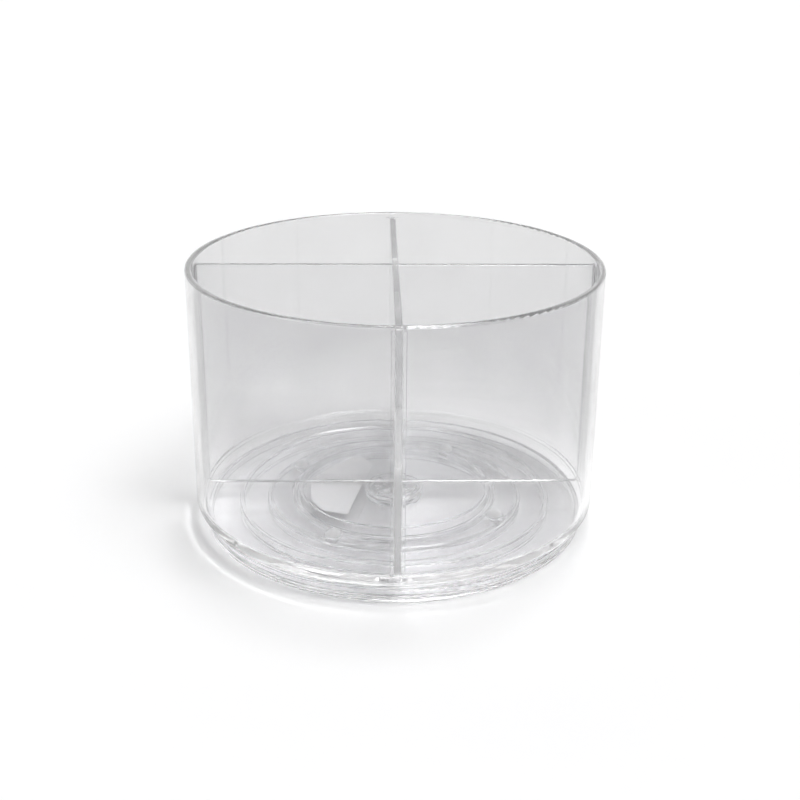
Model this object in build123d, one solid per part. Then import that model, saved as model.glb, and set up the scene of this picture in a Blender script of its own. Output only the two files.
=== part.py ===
from build123d import *
import math
import os

# A clear desk caddy: an open drum in four compartments that turns on a low base with a ball race.
# Frame: Z up, origin on the spin axis at the level the base stands on, X along the long divider.
# All sizes are in millimetres.

# ---- overall
DRUM_DIAMETER = 150.0
OVERALL_HEIGHT = 98.0
WALL = 2.4
DRUM_RADIUS = DRUM_DIAMETER / 2
DRUM_INNER_RADIUS = DRUM_RADIUS - WALL

# ---- drum floor and edges
DRUM_UNDERSIDE = 7.6
DRUM_FLOOR = 2.8
FLOOR_TOP = DRUM_UNDERSIDE + DRUM_FLOOR
OUTER_CORNER = 1.8
INNER_CORNER = 1.5
RIM_ROUND = 0.9

# ---- dividers and the ribs that locate them
DIVIDER_THICKNESS = 2.4
DIVIDER_DROP = 1.6
DIVIDER_TOP = OVERALL_HEIGHT - DIVIDER_DROP
DIVIDER_END_GAP = 0.3
DIVIDER_FLOOR_GAP = 0.02
DIVIDER_LOW_CORNER = INNER_CORNER + 0.2
DIVIDER_TOP_CORNER = 0.8
DIVIDER_EDGE_ROUND = 0.35
LAP_CLEARANCE = 0.05
GUIDE_CLEARANCE = 0.15
GUIDE_THICKNESS = 1.1
GUIDE_DEPTH = 1.0
GUIDE_DROP = 0.3
GUIDE_LEAD_IN = 0.3
GUIDE_EDGE_ROUND = 0.25

# ---- ball race
BALL_DIAMETER = 6.35
BALL_RADIUS = BALL_DIAMETER / 2
BALL_COUNT = 4
BALL_CIRCLE_RADIUS = 42.8
FIRST_BALL_ANGLE = 59.0
BALL_FIT = 0.02
RACE_HALF_WIDTH = 4.3
RACE_FLOOR_TOP = DRUM_UNDERSIDE - BALL_DIAMETER - 2 * BALL_FIT
RACE_FLOOR_UNDERSIDE = 0.2
RACE_WALL = 1.4
RACE_WALL_TOP = 4.6
RACE_WALL_ROUND = 0.45
BALL_HEIGHT = RACE_FLOOR_TOP + BALL_RADIUS + BALL_FIT

# ---- ball cage
CAGE_SIDE_GAP = 0.35
CAGE_THICKNESS = 2.4
POCKET_CLEARANCE = 0.12
CAGE_EDGE_ROUND = 0.3

# ---- base
BASE_DIAMETER = 142.5
BASE_RADIUS = BASE_DIAMETER / 2
SKIRT_THICKNESS = 2.0
SKIRT_HEIGHT = 4.4
SKIRT_TOP_ROUND = 0.4
SKIRT_FOOT_ROUND = 0.3
PLATE_UNDERSIDE = 0.6
PLATE_TOP = 2.2
RIB_RADIUS = 58.2
RIB_WIDTH = 1.8
RIB_TOP = 5.4
RIB_ROUND = 0.5

# ---- centring ring under the drum, inside the race
CENTRING_RADIUS = 36.4
CENTRING_WALL = 1.2
CENTRING_LOW = 4.2

# ---- hub and pivot
HUB_RADIUS = 10.2
HUB_LIP_RADIUS = 11.0
HUB_LIP = 0.9
HUB_WALL = 1.4
HUB_LIP_ROUND = 0.25
SOCKET_RADIUS = 5.2
PIVOT_RADIUS = 3.0
PIVOT_RUNNING_FIT = 0.05
PIVOT_TOP = 9.0
PIVOT_HEAD_RADIUS = 7.5
PIVOT_HEAD_LOW = 0.9
PIVOT_HEAD_HIGH = 2.3
PIVOT_HEAD_ROUND = 0.5
HUB_RECESS_RADIUS = 8.2
HUB_WEB_LOW = 2.4
HUB_WEB_THICKNESS = 1.0
HUB_MEETING = 5.5
WASHER_THICKNESS = 0.9
WASHER_RADIUS = 8.6
BASE_HUB_TOP = HUB_MEETING - WASHER_THICKNESS
HUB_SPOKE_THICKNESS = 1.2
HUB_SPOKES = 4

# ---- paper label under the drum floor
LABEL_THICKNESS = 0.12
LABEL_CORNER = 1.5
LABEL_OUTLINE = [
    (-17.3, -23.8),
    (-8.2, 17.8),
    (-12.4, 25.0),
    (-17.0, 25.5),
    (-32.5, 5.0),
    (-31.0, -13.5),
    (-26.5, -20.8),
]

# ---- construction allowances: how far a cut runs past a face, and how far two unions overlap
CUT_PAST = 1.0
UNION_OVERLAP = 1.0

FROM_BELOW = (Align.CENTER, Align.CENTER, Align.MIN)


def disc(radius, low, high):
    """A solid disc about the spin axis."""
    return Pos(0, 0, low) * Cylinder(radius, high - low, align=FROM_BELOW)


def ring(inner, outer, low, high):
    """A ring about the spin axis."""
    return disc(outer, low, high) - disc(inner, low, high)


def lowest_edges(shape):
    return shape.edges().group_by(Axis.Z)[0]


def highest_edges(shape):
    return shape.edges().group_by(Axis.Z)[-1]


def spokes(inner, outer, low, high):
    """Short radial webs set diagonally, joining a socket to the hub's outer wall."""
    length = outer - inner
    web = Pos((inner + outer) / 2, 0, low) * Box(
        length, HUB_SPOKE_THICKNESS, high - low, align=FROM_BELOW
    )
    step = 360 / HUB_SPOKES
    return [Rot(0, 0, step * (i + 0.5)) * web for i in range(HUB_SPOKES)]


def guide_ribs():
    """Pairs of upright ribs on the wall that locate the four divider ends."""
    top = DIVIDER_TOP - GUIDE_DROP
    offset = DIVIDER_THICKNESS / 2 + GUIDE_CLEARANCE + GUIDE_THICKNESS / 2
    reach = DRUM_INNER_RADIUS - GUIDE_DEPTH
    overlap = WALL / 2
    rib = Pos(reach, 0, FLOOR_TOP - DRUM_FLOOR / 2) * Box(
        GUIDE_DEPTH + overlap,
        GUIDE_THICKNESS,
        top - FLOOR_TOP + DRUM_FLOOR / 2,
        align=(Align.MIN, Align.CENTER, Align.MIN),
    )
    lead_in = rib.edges().group_by(Axis.Z)[-1].filter_by(Axis.Y).sort_by(Axis.X)[0]
    rib = chamfer(lead_in, GUIDE_LEAD_IN)
    rib = fillet(rib.edges().filter_by(Axis.Z).group_by(Axis.X)[0], GUIDE_EDGE_ROUND)
    return [
        Rot(0, 0, 90 * quarter) * Pos(0, side * offset, 0) * rib
        for quarter in range(4)
        for side in (-1, 1)
    ]


def lip(low, high):
    """The rounded flange at the mating end of a hub."""
    flange = ring(HUB_RADIUS - HUB_WALL, HUB_LIP_RADIUS, low, high)
    outer = flange.edges().filter_by(GeomType.CIRCLE).group_by(SortBy.RADIUS)[-1]
    return fillet(outer, HUB_LIP_ROUND)


def make_drum():
    """The clear drum: wall, floor, locating ribs, centring ring and pivot socket in one moulding."""
    shell = disc(DRUM_RADIUS, DRUM_UNDERSIDE, OVERALL_HEIGHT)
    shell = fillet(lowest_edges(shell), OUTER_CORNER)
    hollow = disc(DRUM_INNER_RADIUS, FLOOR_TOP, OVERALL_HEIGHT + CUT_PAST)
    hollow = fillet(lowest_edges(hollow), INNER_CORNER)
    shell -= hollow
    shell = fillet(highest_edges(shell), RIM_ROUND)
    for rib in guide_ribs():
        shell += rib
    into_floor = DRUM_UNDERSIDE + DRUM_FLOOR / 2
    shell += ring(CENTRING_RADIUS - CENTRING_WALL, CENTRING_RADIUS, CENTRING_LOW, into_floor)
    shell += ring(HUB_RADIUS - HUB_WALL, HUB_RADIUS, HUB_MEETING, into_floor)
    shell += lip(HUB_MEETING, HUB_MEETING + HUB_LIP)
    shell += disc(SOCKET_RADIUS, HUB_MEETING, into_floor)
    web_inner = SOCKET_RADIUS - UNION_OVERLAP
    web_outer = HUB_RADIUS - HUB_WALL / 2
    for web in spokes(web_inner, web_outer, HUB_MEETING, into_floor):
        shell += web
    return shell - disc(PIVOT_RADIUS, HUB_MEETING - CUT_PAST, PIVOT_TOP)


def divider_panel():
    """One panel across the drum along X, with its lower corners cut clear of the floor corner."""
    half_thickness = DIVIDER_THICKNESS / 2
    half_length = math.sqrt(DRUM_INNER_RADIUS**2 - half_thickness**2) - DIVIDER_END_GAP
    low = FLOOR_TOP + DIVIDER_FLOOR_GAP
    panel = Pos(0, 0, low) * Box(
        2 * half_length, DIVIDER_THICKNESS, DIVIDER_TOP - low, align=FROM_BELOW
    )
    across = panel.edges().filter_by(Axis.Y).group_by(Axis.Z)
    panel = chamfer(across[0], DIVIDER_LOW_CORNER)
    across = panel.edges().filter_by(Axis.Y).group_by(Axis.Z)
    panel = fillet(across[-1], DIVIDER_TOP_CORNER)
    return fillet(panel.faces().filter_by(Axis.Y).edges(), DIVIDER_EDGE_ROUND)


def half_lap(low, high):
    """The slot that one panel leaves for the other at the crossing."""
    width = DIVIDER_THICKNESS + 2 * LAP_CLEARANCE
    return Pos(0, 0, low) * Box(width, 2 * width, high - low, align=FROM_BELOW)


def make_long_divider():
    middle = (FLOOR_TOP + DIVIDER_TOP) / 2
    return divider_panel() - half_lap(FLOOR_TOP - CUT_PAST, middle + LAP_CLEARANCE)


def make_cross_divider():
    middle = (FLOOR_TOP + DIVIDER_TOP) / 2
    panel = divider_panel() - half_lap(middle - LAP_CLEARANCE, DIVIDER_TOP + CUT_PAST)
    return Rot(0, 0, 90) * panel


def make_base():
    """The low base: skirt, plate, stiffening rib, ball race and the hub that carries the pivot."""
    race_in = BALL_CIRCLE_RADIUS - RACE_HALF_WIDTH
    race_out = BALL_CIRCLE_RADIUS + RACE_HALF_WIDTH
    skirt = ring(BASE_RADIUS - SKIRT_THICKNESS, BASE_RADIUS, 0, SKIRT_HEIGHT)
    skirt = fillet(highest_edges(skirt), SKIRT_TOP_ROUND)
    skirt = fillet(lowest_edges(skirt), SKIRT_FOOT_ROUND)
    skirt_overlap = SKIRT_THICKNESS / 2
    base = skirt + ring(
        race_out + RACE_WALL / 2, BASE_RADIUS - skirt_overlap, PLATE_UNDERSIDE, PLATE_TOP
    )
    rib = ring(RIB_RADIUS - RIB_WIDTH / 2, RIB_RADIUS + RIB_WIDTH / 2, 0, RIB_TOP)
    base += fillet(highest_edges(rib), RIB_ROUND)
    for inner in (race_in - RACE_WALL, race_out):
        wall = ring(inner, inner + RACE_WALL, RACE_FLOOR_UNDERSIDE, RACE_WALL_TOP)
        base += fillet(highest_edges(wall), RACE_WALL_ROUND)
    base += ring(
        race_in - RACE_WALL / 2, race_out + RACE_WALL / 2, RACE_FLOOR_UNDERSIDE, RACE_FLOOR_TOP
    )
    base += ring(HUB_RECESS_RADIUS, race_in - RACE_WALL / 2, PLATE_UNDERSIDE, PLATE_TOP)
    return base + make_base_hub()


def make_base_hub():
    """A raised hub with a bored web, open below where the pivot's head turns."""
    web_edge = HUB_RADIUS - HUB_WALL / 2
    hub = ring(HUB_RADIUS - HUB_WALL, HUB_RADIUS, PLATE_UNDERSIDE, BASE_HUB_TOP)
    hub += lip(BASE_HUB_TOP - HUB_LIP, BASE_HUB_TOP)
    hub += disc(web_edge, HUB_WEB_LOW, HUB_WEB_LOW + HUB_WEB_THICKNESS)
    hub += disc(SOCKET_RADIUS, HUB_WEB_LOW, BASE_HUB_TOP)
    for web in spokes(SOCKET_RADIUS - UNION_OVERLAP, web_edge, HUB_WEB_LOW, BASE_HUB_TOP):
        hub += web
    return hub - disc(PIVOT_RADIUS + PIVOT_RUNNING_FIT, 0, BASE_HUB_TOP + CUT_PAST)


def ball_place(index):
    """The centre of one ball on the ball circle."""
    angle = math.radians(FIRST_BALL_ANGLE + index * 360 / BALL_COUNT)
    x = BALL_CIRCLE_RADIUS * math.cos(angle)
    y = BALL_CIRCLE_RADIUS * math.sin(angle)
    return Pos(x, y, BALL_HEIGHT)


def make_ball(index):
    return ball_place(index) * Sphere(BALL_RADIUS)


def make_ball_cage():
    """A flat ring with a snap-in pocket for each ball."""
    half_width = RACE_HALF_WIDTH - CAGE_SIDE_GAP
    cage = ring(
        BALL_CIRCLE_RADIUS - half_width,
        BALL_CIRCLE_RADIUS + half_width,
        BALL_HEIGHT - CAGE_THICKNESS / 2,
        BALL_HEIGHT + CAGE_THICKNESS / 2,
    )
    cage = fillet(cage.edges(), CAGE_EDGE_ROUND)
    for index in range(BALL_COUNT):
        cage -= ball_place(index) * Sphere(BALL_RADIUS + POCKET_CLEARANCE)
    return cage


def make_pivot_pin():
    """A headed pin pressed up into the drum's socket; the head holds the base on."""
    head = disc(PIVOT_HEAD_RADIUS, PIVOT_HEAD_LOW, PIVOT_HEAD_HIGH)
    head = fillet(lowest_edges(head), PIVOT_HEAD_ROUND)
    return head + disc(PIVOT_RADIUS, PIVOT_HEAD_HIGH, PIVOT_TOP)


def make_slip_washer():
    """A thin washer that keeps the two hubs from rubbing."""
    return ring(PIVOT_RADIUS + PIVOT_RUNNING_FIT, WASHER_RADIUS, BASE_HUB_TOP, HUB_MEETING)


def make_label():
    """A blank paper label stuck to the drum's underside, inside the centring ring."""
    outline = make_face(Polyline(*LABEL_OUTLINE, close=True))
    outline = fillet(outline.vertices(), LABEL_CORNER)
    return Pos(0, 0, DRUM_UNDERSIDE - LABEL_THICKNESS) * extrude(outline, LABEL_THICKNESS)


def main():
    os.makedirs("parts", exist_ok=True)
    parts = {
        "drum": make_drum(),
        "long_divider": make_long_divider(),
        "cross_divider": make_cross_divider(),
        "base": make_base(),
        "ball_cage": make_ball_cage(),
        "pivot_pin": make_pivot_pin(),
        "slip_washer": make_slip_washer(),
        "paper_label": make_label(),
    }
    for index in range(BALL_COUNT):
        parts[f"ball_{index + 1}"] = make_ball(index)
    for name, shape in parts.items():
        export_step(shape, f"parts/{name}.step")


main()
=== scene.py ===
import math

import bmesh
import bpy
from mathutils import Matrix, Vector, noise


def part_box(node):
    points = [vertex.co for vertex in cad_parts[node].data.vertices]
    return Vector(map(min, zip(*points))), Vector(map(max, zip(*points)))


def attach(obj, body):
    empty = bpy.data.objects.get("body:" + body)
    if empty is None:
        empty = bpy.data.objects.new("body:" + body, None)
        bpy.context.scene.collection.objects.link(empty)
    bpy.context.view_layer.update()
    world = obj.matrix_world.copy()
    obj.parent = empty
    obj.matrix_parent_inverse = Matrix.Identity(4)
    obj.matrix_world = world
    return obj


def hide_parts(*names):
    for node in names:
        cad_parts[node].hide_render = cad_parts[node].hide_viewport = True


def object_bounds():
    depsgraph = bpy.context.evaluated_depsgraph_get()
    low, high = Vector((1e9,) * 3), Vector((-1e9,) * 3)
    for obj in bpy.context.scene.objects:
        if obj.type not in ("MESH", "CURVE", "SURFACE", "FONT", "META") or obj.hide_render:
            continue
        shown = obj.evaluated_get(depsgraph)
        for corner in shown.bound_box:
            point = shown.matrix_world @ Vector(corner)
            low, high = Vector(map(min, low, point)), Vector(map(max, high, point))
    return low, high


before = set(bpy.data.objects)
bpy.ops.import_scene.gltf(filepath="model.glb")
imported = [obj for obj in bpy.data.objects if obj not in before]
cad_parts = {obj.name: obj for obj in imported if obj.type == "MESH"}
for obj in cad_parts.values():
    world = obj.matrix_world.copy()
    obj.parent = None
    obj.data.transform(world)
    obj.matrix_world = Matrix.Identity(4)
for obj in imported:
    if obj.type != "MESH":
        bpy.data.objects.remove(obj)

# ---- frame and sizes, in metres
MM = 0.001
cad_low, cad_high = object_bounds()
RADIUS = (cad_high.x - cad_low.x) / 2
TOP = cad_high.z
panel_low, panel_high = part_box("long_divider")
PANEL_REACH = panel_high.x
PANEL_FOOT = panel_low.z
PANEL_TOP = panel_high.z

# ---- camera
CAMERA_DISTANCE = 5.6 * RADIUS
CAMERA_HEIGHT = 2.86826 * RADIUS
CAMERA_AZIMUTH = math.radians(-1.015)
CAMERA_TILT = math.radians(20.323)
CAMERA_HEADING = -0.00461
CAMERA_ROLL = math.radians(0.447)
CAMERA_LENS = 54.296
CAMERA_SENSOR = 36
CAMERA_SHIFT = -0.05

# ---- light: radiance of the room, then of each lit area of the sky
ROOM = 0.23
# radiance, full below and gone above these elevations in degrees
SWEEP = (0.80, 5, 13)
# direction, full within and gone beyond these angles in degrees, radiance
BACKDROP = ((0, 0.94, 0.34), 38, 60, 0.40)
SOFTBOXES = [
    ((0.31, -0.24, 0.92), 5, 18, 10.2),
    ((0.06, 0.26, 0.96), 3, 9, 19.5),
    ((0.05, -0.92, 0.38), 12, 50, 0.22),
    ((0.97, -0.10, 0.22), 16, 30, 0.65),
    ((-0.90, -0.35, 0.45), 8, 18, 1.3),
    ((-0.62, 0.70, 0.30), 5, 12, 1.0),
]
FLOOR_WHITE = 0.86
FLOOR_MOTTLE = 0.003
FLOOR_DROP = 0.3 * MM
FLOOR_SIDE = 40
LIGHT_BOUNCES = 96

# ---- materials: a ramp is (from, to, result at from, result at to)
STYRENE_IOR = 1.59
CAGE_IOR = 1.5
MILKY_IOR = 1.5
BLUE_CAST = 1.004
# the drum's grey tint, ramped by height from near clear at the floor to darker up the wall: the
# ramp is painted shade and light, for a darker backdrop seen high up and brighter light near the
# floor
DRUM_TINT_AND_SHADE = (10 * MM, 60 * MM, 0.99, 0.78)
RIM_FROST = (TOP - 0.9 * MM, TOP - 0.3 * MM, 0.0, 0.2)
PANEL_TINT = (10 * MM, TOP, 0.95, 0.93)
PANEL_TOP_FROST = (PANEL_TOP - 0.45 * MM, PANEL_TOP - 0.2 * MM, 0.0, 0.12)
# the dividers' ends and foot: the masks, then how much painted shade darkens their colour on each
# divider
PANEL_END_RAMP = (PANEL_REACH - 0.75 * MM, PANEL_REACH - 0.45 * MM, 0.0, 1.0)
PANEL_FOOT_RAMP = (PANEL_FOOT + 0.3 * MM, PANEL_FOOT + 0.5 * MM, 1.0, 0.0)
PANEL_EDGE_SHADE = {"long_divider": 0.7, "cross_divider": 0.04}
BASE_TINT = (0, TOP, 0.99, 0.99)
CAGE_TINT = (0, TOP, 0.97, 0.97)
# tint against the facing ratio: a wall seen steeply, then its very outline; partly the longer path
# in the plastic, partly painted shade along the outlines
STRIP_RAMP = (0.66, 0.84, 1.0, 0.86)
OUTLINE_RAMP = (0.88, 0.99, 1.0, 0.60)
# clouding and wear of clear plastic: features per metre and the ramp that cuts the noise
CLOUD_SCALE = 38
CLOUD_RAMP = (0.3, 0.7, 0.988, 1.008)
WEAR_SCALE = 24
WEAR_RAMP = (0.48, 0.75, 0.0, 1.0)
HAIRLINE_SCALE = 900
HAIRLINE_STRETCH = (1, 1, 0.08)
HAIRLINE_RAMP = (0.62, 0.74, 0.0, 1.0)
FLOW_SCALE = 55
FLOW_DEPTH = 0.018 * MM
PANEL_FLOW_DEPTH = 0.022 * MM
SCRATCH_DEPTH = 0.002 * MM
# roughness added on the cut edges of the dividers
EDGE_FROST = 0.14
# milky plastic: mottle and grain of the surface
MOTTLE_SCALE = 420
MOTTLE_DEPTH = 0.03
GRAIN_SCALE = 700
GRAIN_DEPTH = 0.08
MILKY_FLOW_SCALE = 260
MILKY_FLOW_DEPTH = 0.004 * MM
# paper
FIBRE_SCALE = 2600
FIBRE_STRETCH = (1, 0.25, 1)
FIBRE_RELIEF = 0.02 * MM
PAPER_WHITE = (0.25, 0.75, 0.86, 0.94)
PAPER_ROUGHNESS = (0.2, 0.8, 0.82, 0.95)
PAPER_SPECULAR = 0.2

# ---- the label
LABEL_GAP = 0.06 * MM
LABEL_CELL = 0.8 * MM
LABEL_CURL = 0.9 * MM
CURL_SHARE = 0.45
RIPPLE_DEPTH = 0.05 * MM
RIPPLE_SCALE = 90
WELD = 0.001 * MM

# ---- air left round the pin and the washer
SURFACE_GAP = 0.04 * MM


# ---- shader nodes ------------------------------------------------------------------------------


def link(tree, source, target):
    tree.links.new(source, target)


def add_node(tree, kind, **values):
    """A node of one kind, with its inputs set by name and its properties by attribute."""
    node = tree.nodes.new(kind)
    for key, value in values.items():
        if key in node.inputs:
            node.inputs[key].default_value = value
        else:
            setattr(node, key, value)
    return node


# ---- camera ------------------------------------------------------------------------------------


def make_camera():
    """Looks over the near rim and down to the drum's floor."""
    data = bpy.data.cameras.new("camera")
    data.sensor_width = CAMERA_SENSOR
    data.lens = CAMERA_LENS
    data.shift_y = CAMERA_SHIFT
    camera = bpy.data.objects.new("camera", data)
    bpy.context.scene.collection.objects.link(camera)
    camera.location = (
        CAMERA_DISTANCE * math.sin(CAMERA_AZIMUTH),
        -CAMERA_DISTANCE * math.cos(CAMERA_AZIMUTH),
        CAMERA_HEIGHT,
    )
    turn = Matrix.Rotation(CAMERA_HEADING + CAMERA_AZIMUTH, 4, "Z")
    tilt = Matrix.Rotation(math.pi / 2 - CAMERA_TILT, 4, "X")
    roll = Matrix.Rotation(CAMERA_ROLL, 4, "Z")
    camera.rotation_euler = (turn @ tilt @ roll).to_euler()
    bpy.context.scene.camera = camera


# ---- materials ---------------------------------------------------------------------------------


def new_material(name):
    material = bpy.data.materials.new(name)
    material.use_nodes = True
    tree = material.node_tree
    shader = tree.nodes["Principled BSDF"]
    place = add_node(tree, "ShaderNodeTexCoord").outputs["Object"]
    return material, tree, shader, place


def ramp(tree, value, low, high, result_low, result_high):
    """A smooth step from one value to another."""
    step = add_node(tree, "ShaderNodeMapRange", interpolation_type="SMOOTHSTEP")
    step.inputs["From Min"].default_value = low
    step.inputs["From Max"].default_value = high
    step.inputs["To Min"].default_value = result_low
    step.inputs["To Max"].default_value = result_high
    link(tree, value, step.inputs["Value"])
    return step.outputs[0]


def combine(tree, operation, first, second):
    node = add_node(tree, "ShaderNodeMath", operation=operation)
    for socket, value in zip(node.inputs, (first, second)):
        if isinstance(value, (int, float)):
            socket.default_value = value
        else:
            link(tree, value, socket)
    return node.outputs[0]


def grain(tree, place, scale, detail=2.0, stretch=(1, 1, 1), roughness=0.5):
    """Noise at a scale in features per metre, stretched along an axis if asked."""
    mapping = add_node(tree, "ShaderNodeMapping")
    mapping.inputs["Scale"].default_value = stretch
    link(tree, place, mapping.inputs["Vector"])
    node = add_node(tree, "ShaderNodeTexNoise", Scale=scale, Detail=detail, Roughness=roughness)
    link(tree, mapping.outputs[0], node.inputs["Vector"])
    return node.outputs["Fac"]


def height_of(tree, place):
    split = add_node(tree, "ShaderNodeSeparateXYZ")
    link(tree, place, split.inputs[0])
    return split.outputs["Z"]


def grey(tree, value):
    """A neutral colour of one value, with a slight blue cast."""
    colour = add_node(tree, "ShaderNodeCombineColor")
    link(tree, value, colour.inputs[0])
    link(tree, value, colour.inputs[1])
    link(tree, combine(tree, "MULTIPLY", value, BLUE_CAST), colour.inputs[2])
    return colour.outputs[0]


def edge_tint_and_shade(tree, shade):
    """Deepens the tint where the wall is seen edge on: partly for the longer path of light in the
    plastic, partly painted shade that draws dark outlines.
    """
    facing = add_node(tree, "ShaderNodeLayerWeight", Blend=0.5).outputs["Facing"]
    strip = ramp(tree, facing, *STRIP_RAMP)
    outline = ramp(tree, facing, *OUTLINE_RAMP)
    return combine(tree, "MULTIPLY", shade, combine(tree, "MULTIPLY", strip, outline))


def panel_edges(tree, place, height):
    """1.0 on a divider's two ends and foot, which get painted shade and frost, 0.0 elsewhere."""
    flat = add_node(tree, "ShaderNodeVectorMath", operation="MULTIPLY")
    flat.inputs[1].default_value = (1, 1, 0)
    link(tree, place, flat.inputs[0])
    reach = add_node(tree, "ShaderNodeVectorMath", operation="LENGTH")
    link(tree, flat.outputs[0], reach.inputs[0])
    ends = ramp(tree, reach.outputs["Value"], *PANEL_END_RAMP)
    foot = ramp(tree, height, *PANEL_FOOT_RAMP)
    return combine(tree, "MAXIMUM", ends, foot)


def surface_relief(tree, shader, place, flow, flow_depth):
    """Moulding flow and hairline scuffs, as relief on the surface."""
    waves = grain(tree, place, flow, detail=1.0)
    bump = add_node(tree, "ShaderNodeBump", Strength=1.0, Distance=flow_depth)
    link(tree, waves, bump.inputs["Height"])
    hair = grain(tree, place, HAIRLINE_SCALE, detail=3.0, stretch=HAIRLINE_STRETCH, roughness=0.7)
    lines = ramp(tree, hair, *HAIRLINE_RAMP)
    scuffs = add_node(tree, "ShaderNodeBump", Strength=1.0, Distance=SCRATCH_DEPTH)
    link(tree, lines, scuffs.inputs["Height"])
    link(tree, bump.outputs[0], scuffs.inputs["Normal"])
    link(tree, scuffs.outputs[0], shader.inputs["Normal"])
    return lines


def clear_plastic(
    name,
    tint_and_shade,
    ior=STYRENE_IOR,
    smooth=0.004,
    scuffed=0.03,
    frost=None,
    flow_depth=FLOW_DEPTH,
    edges=0.0,
):
    """Clear moulded plastic. The tint, with painted shade where it varies by height, and the frost
    are ramps over the height.
    """
    material, tree, shader, place = new_material(name)
    height = height_of(tree, place)
    # colour by height: the plastic's tint, which on the drum is painted shade that darkens up the
    # wall
    shade = ramp(tree, height, *tint_and_shade)
    cloud = ramp(tree, grain(tree, place, CLOUD_SCALE, detail=3.0), *CLOUD_RAMP)
    # tint deepened toward a grazing view: partly the longer path in the plastic, partly painted
    # shade along the outlines
    shade = edge_tint_and_shade(tree, combine(tree, "MULTIPLY", shade, cloud))
    # painted shade: the colour is darkened on the divider's ends and foot
    if edges:
        drop = combine(tree, "MULTIPLY", panel_edges(tree, place, height), edges)
        shade = combine(tree, "MULTIPLY", shade, combine(tree, "SUBTRACT", 1.0, drop))
    link(tree, grey(tree, shade), shader.inputs["Base Color"])
    shader.inputs["Transmission Weight"].default_value = 1.0
    shader.inputs["IOR"].default_value = ior
    lines = surface_relief(tree, shader, place, FLOW_SCALE, flow_depth)
    wear = grain(tree, place, WEAR_SCALE, detail=4.0, roughness=0.65)
    patches = ramp(tree, wear, *WEAR_RAMP)
    worn = combine(tree, "MULTIPLY", combine(tree, "ADD", patches, lines), scuffed)
    rough = combine(tree, "ADD", worn, smooth)
    if frost:
        rough = combine(tree, "ADD", rough, ramp(tree, height, *frost))
    if edges:
        cut = combine(tree, "MULTIPLY", panel_edges(tree, place, height), EDGE_FROST)
        rough = combine(tree, "ADD", rough, cut)
    link(tree, rough, shader.inputs["Roughness"])
    return material


def milky_plastic(name, clearness, value, roughness):
    """Translucent moulded plastic with a faint mottle."""
    material, tree, shader, place = new_material(name)
    cloud = grain(tree, place, MOTTLE_SCALE, detail=3.0)
    mottle = ramp(tree, cloud, 0.3, 0.7, value - MOTTLE_DEPTH, value)
    link(tree, grey(tree, mottle), shader.inputs["Base Color"])
    shader.inputs["Transmission Weight"].default_value = clearness
    shader.inputs["IOR"].default_value = MILKY_IOR
    texture = grain(tree, place, GRAIN_SCALE, detail=2.0)
    fine = ramp(tree, texture, 0.3, 0.7, roughness, roughness + GRAIN_DEPTH)
    link(tree, fine, shader.inputs["Roughness"])
    surface_relief(tree, shader, place, MILKY_FLOW_SCALE, MILKY_FLOW_DEPTH)
    return material


def paper():
    """Uncoated white paper: fibres, a soft mottle and no gloss."""
    material, tree, shader, place = new_material("label_paper")
    fibres = grain(tree, place, FIBRE_SCALE, detail=4.0, stretch=FIBRE_STRETCH, roughness=0.7)
    mottle = ramp(tree, fibres, *PAPER_WHITE)
    link(tree, grey(tree, mottle), shader.inputs["Base Color"])
    shader.inputs["Specular IOR Level"].default_value = PAPER_SPECULAR
    rough = ramp(tree, fibres, *PAPER_ROUGHNESS)
    link(tree, rough, shader.inputs["Roughness"])
    bump = add_node(tree, "ShaderNodeBump", Strength=0.6, Distance=FIBRE_RELIEF)
    link(tree, fibres, bump.inputs["Height"])
    link(tree, bump.outputs[0], shader.inputs["Normal"])
    return material


def dress_cad_nodes():
    """Each CAD node that stays gets its finish."""
    finishes = {"drum": clear_plastic("drum_styrene_clear", DRUM_TINT_AND_SHADE, frost=RIM_FROST)}
    for name, edges in PANEL_EDGE_SHADE.items():
        finishes[name] = clear_plastic(
            f"{name}_clear",
            PANEL_TINT,
            frost=PANEL_TOP_FROST,
            flow_depth=PANEL_FLOW_DEPTH,
            edges=edges,
        )
    finishes["base"] = clear_plastic("base_styrene_clear", BASE_TINT, scuffed=0.09)
    finishes["ball_cage"] = clear_plastic(
        "cage_clear", CAGE_TINT, ior=CAGE_IOR, smooth=0.05, scuffed=0.1
    )
    ball = milky_plastic("ball_milky", 0.35, 0.98, 0.08)
    for index in range(1, 5):
        finishes[f"ball_{index}"] = ball
    for name, finish in finishes.items():
        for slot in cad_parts[name].material_slots:
            slot.material = finish


# ---- stage -------------------------------------------------------------------------------------


def make_floor():
    bpy.ops.mesh.primitive_plane_add(size=FLOOR_SIDE, location=(0, 0, -FLOOR_DROP))
    floor = bpy.context.object
    floor.name = "studio_floor"
    material, tree, shader, place = new_material("studio_floor")
    cloud = grain(tree, place, 3, detail=2.0)
    tone = ramp(tree, cloud, 0.3, 0.7, FLOOR_WHITE - FLOOR_MOTTLE, FLOOR_WHITE)
    link(tree, grey(tree, tone), shader.inputs["Base Color"])
    shader.inputs["Roughness"].default_value = 1.0
    shader.inputs["Specular IOR Level"].default_value = 0.0
    floor.data.materials.append(material)


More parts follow.
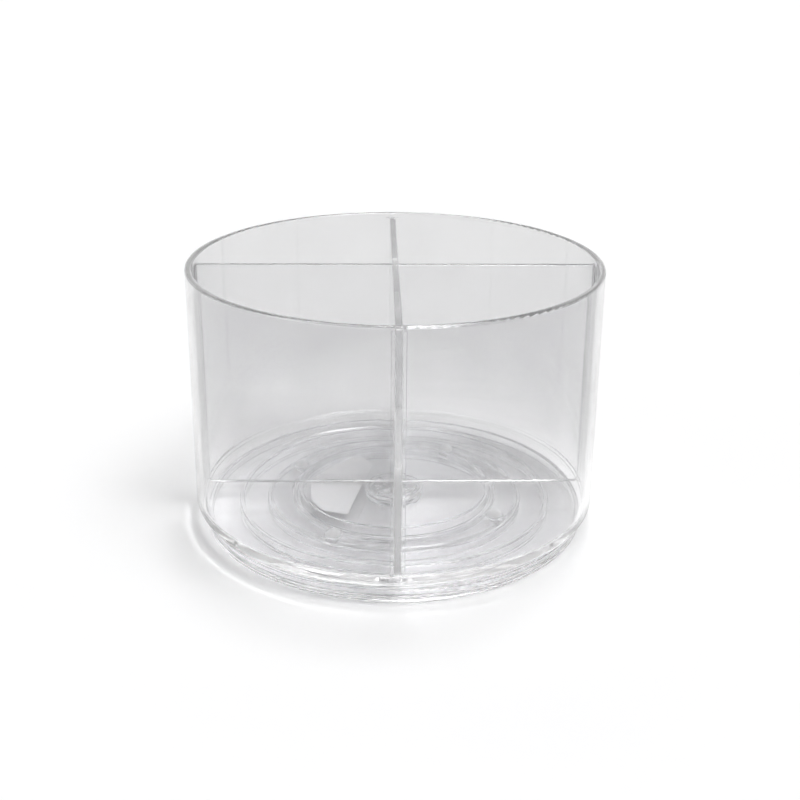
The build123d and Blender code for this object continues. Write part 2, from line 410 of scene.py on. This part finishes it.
def make_sky():
    """A dim room with a white sweep round the horizon, a lit backdrop and large soft boxes."""
    world = bpy.data.worlds.new("studio")
    bpy.context.scene.world = world
    world.use_nodes = True
    tree = world.node_tree
    background = tree.nodes["Background"]
    direction = add_node(tree, "ShaderNodeTexCoord").outputs["Generated"]
    radiance, full, gone = SWEEP
    low, high = math.sin(math.radians(full)), math.sin(math.radians(gone))
    sweep = ramp(tree, height_of(tree, direction), low, high, radiance, 0.0)
    total = combine(tree, "ADD", sweep, ROOM)
    for aim, inner, outer, radiance in [BACKDROP, *SOFTBOXES]:
        facing = add_node(tree, "ShaderNodeVectorMath", operation="DOT_PRODUCT")
        facing.inputs[1].default_value = Vector(aim).normalized()
        link(tree, direction, facing.inputs[0])
        box = ramp(
            tree,
            facing.outputs["Value"],
            math.cos(math.radians(outer)),
            math.cos(math.radians(inner)),
            0.0,
            radiance,
        )
        total = combine(tree, "ADD", total, box)
    background.inputs["Color"].default_value = (1, 1, 1, 1)
    link(tree, total, background.inputs["Strength"])


def set_light_transport():
    """Clear plastic carries light along its walls, so many bounces and true caustics are kept."""
    scene = bpy.context.scene
    scene.view_settings.view_transform = "Standard"
    scene.cycles.max_bounces = LIGHT_BOUNCES
    scene.cycles.transmission_bounces = LIGHT_BOUNCES
    scene.cycles.glossy_bounces = LIGHT_BOUNCES
    scene.cycles.caustics_refractive = True
    scene.cycles.caustics_reflective = True
    scene.cycles.blur_glossy = 0.0


# ---- the label ---------------------------------------------------------------------------------


def make_label():
    """The blank label, cut from the CAD node's own outline, with its free edge curling down."""
    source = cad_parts["paper_label"]
    mesh = bmesh.new()
    mesh.from_mesh(source.data)
    low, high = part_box("paper_label")
    not_upper = [face for face in mesh.faces if face.normal.z < 0.9]
    bmesh.ops.delete(mesh, geom=not_upper, context="FACES")
    bmesh.ops.remove_doubles(mesh, verts=mesh.verts, dist=WELD)
    bmesh.ops.dissolve_limit(mesh, angle_limit=0.01, verts=mesh.verts, edges=mesh.edges)
    for axis, direction in enumerate((Vector((1, 0, 0)), Vector((0, 1, 0)))):
        at = low[axis] + LABEL_CELL
        while at < high[axis]:
            point = direction * at
            everything = mesh.verts[:] + mesh.edges[:] + mesh.faces[:]
            bmesh.ops.bisect_plane(mesh, geom=everything, plane_co=point, plane_no=direction)
            at += LABEL_CELL
    for vertex in mesh.verts:
        along = (vertex.co.y - low.y) / (high.y - low.y)
        curl = LABEL_CURL * max(0.0, CURL_SHARE - along) ** 2 / CURL_SHARE**2
        ripple = RIPPLE_DEPTH * (1 + noise.noise(vertex.co * RIPPLE_SCALE))
        vertex.co.z = high.z - LABEL_GAP - curl - ripple
    data = bpy.data.meshes.new("curled_label")
    mesh.to_mesh(data)
    mesh.free()
    label = bpy.data.objects.new("curled_label", data)
    bpy.context.scene.collection.objects.link(label)
    for polygon in data.polygons:
        polygon.use_smooth = True
    data.materials.append(paper())
    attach(label, "drum")
    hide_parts("paper_label")


# ---- the pin and the washer --------------------------------------------------------------------


def set_free(name, finish):
    """A copy of a turned piece, with a hair of air between it and its neighbours."""
    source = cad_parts[name]
    data = source.data.copy()
    low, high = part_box(name)
    middle = (low.z + high.z) / 2
    for vertex in data.vertices:
        across = vertex.co.xy
        if across.length > SURFACE_GAP:
            vertex.co.xy = across * (1 - SURFACE_GAP / across.length)
        vertex.co.z += SURFACE_GAP if vertex.co.z < middle else -SURFACE_GAP
    piece = bpy.data.objects.new(f"{name}_free", data)
    bpy.context.scene.collection.objects.link(piece)
    data.materials.clear()
    data.materials.append(finish)
    return piece


def make_hub_pieces():
    pin = set_free("pivot_pin", milky_plastic("pin_milky", 0.5, 0.98, 0.12))
    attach(pin, "drum")
    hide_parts("pivot_pin")
    washer = set_free("slip_washer", milky_plastic("washer_milky", 0.6, 0.98, 0.2))
    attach(washer, "base")
    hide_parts("slip_washer")


make_camera()
dress_cad_nodes()
make_hub_pieces()
make_label()
make_floor()
make_sky()
set_light_transport()
